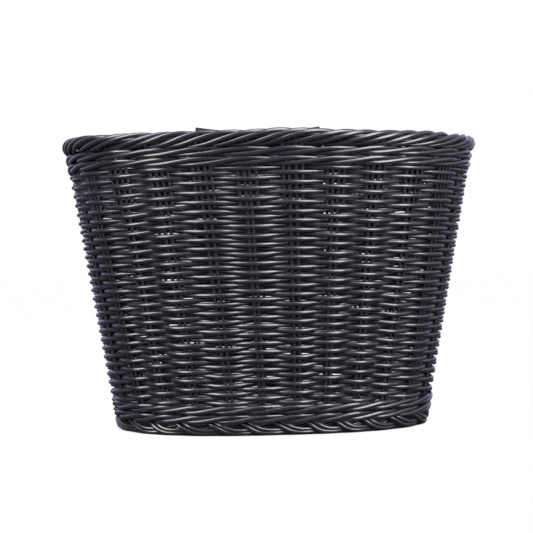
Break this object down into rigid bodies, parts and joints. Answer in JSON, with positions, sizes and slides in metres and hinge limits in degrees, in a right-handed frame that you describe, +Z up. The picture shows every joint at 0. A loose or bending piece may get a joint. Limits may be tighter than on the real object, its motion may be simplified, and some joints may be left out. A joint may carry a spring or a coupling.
{
  "type": "woven handlebar basket",
  "caption": "Tapered D-shaped basket woven from black plastic cane, with a rolled rim, an open foot border and a mounting plate with bar clamps behind the back wall.",
  "frame": {"origin": "on the floor plane, below the line where the basket is widest, midway between its sides", "axes": "+X to the basket's right seen from its front, +Y from the rounded front to the flat back that carries the mounting plate, +Z up"},
  "size_m": [0.361, 0.3049, 0.272],
  "materials": {
    "cane": "semi-gloss extruded plastic cane, near-black with a slightly uneven sheen",
    "plate": "moulded black plastic with a fine matte grain",
    "steel": "zinc-plated steel fasteners",
    "shim": "soft black rubber"
  },
  "bodies": {
    "root": {"base_sticks": "cane", "base_weave": "cane", "foot_border": "cane", "lower_wale_bottom_row": "cane", "lower_wale_top_row": "cane", "side_stakes": "cane", "bye_stakes": "cane", "side_weave": "cane", "upper_wale_bottom_row": "cane", "upper_wale_top_row": "cane", "rim_border": "cane", "mounting_plate": "plate", "backing_plate": "plate", "plate_bolts": "steel", "plate_washers": "steel", "plate_nuts": "steel", "clamp_cap_left": "plate", "clamp_cap_right": "plate", "bar_shim_left": "shim", "bar_shim_right": "shim", "clamp_screws": "steel", "clamp_nuts": "steel"}
  },
  "joints": []
}
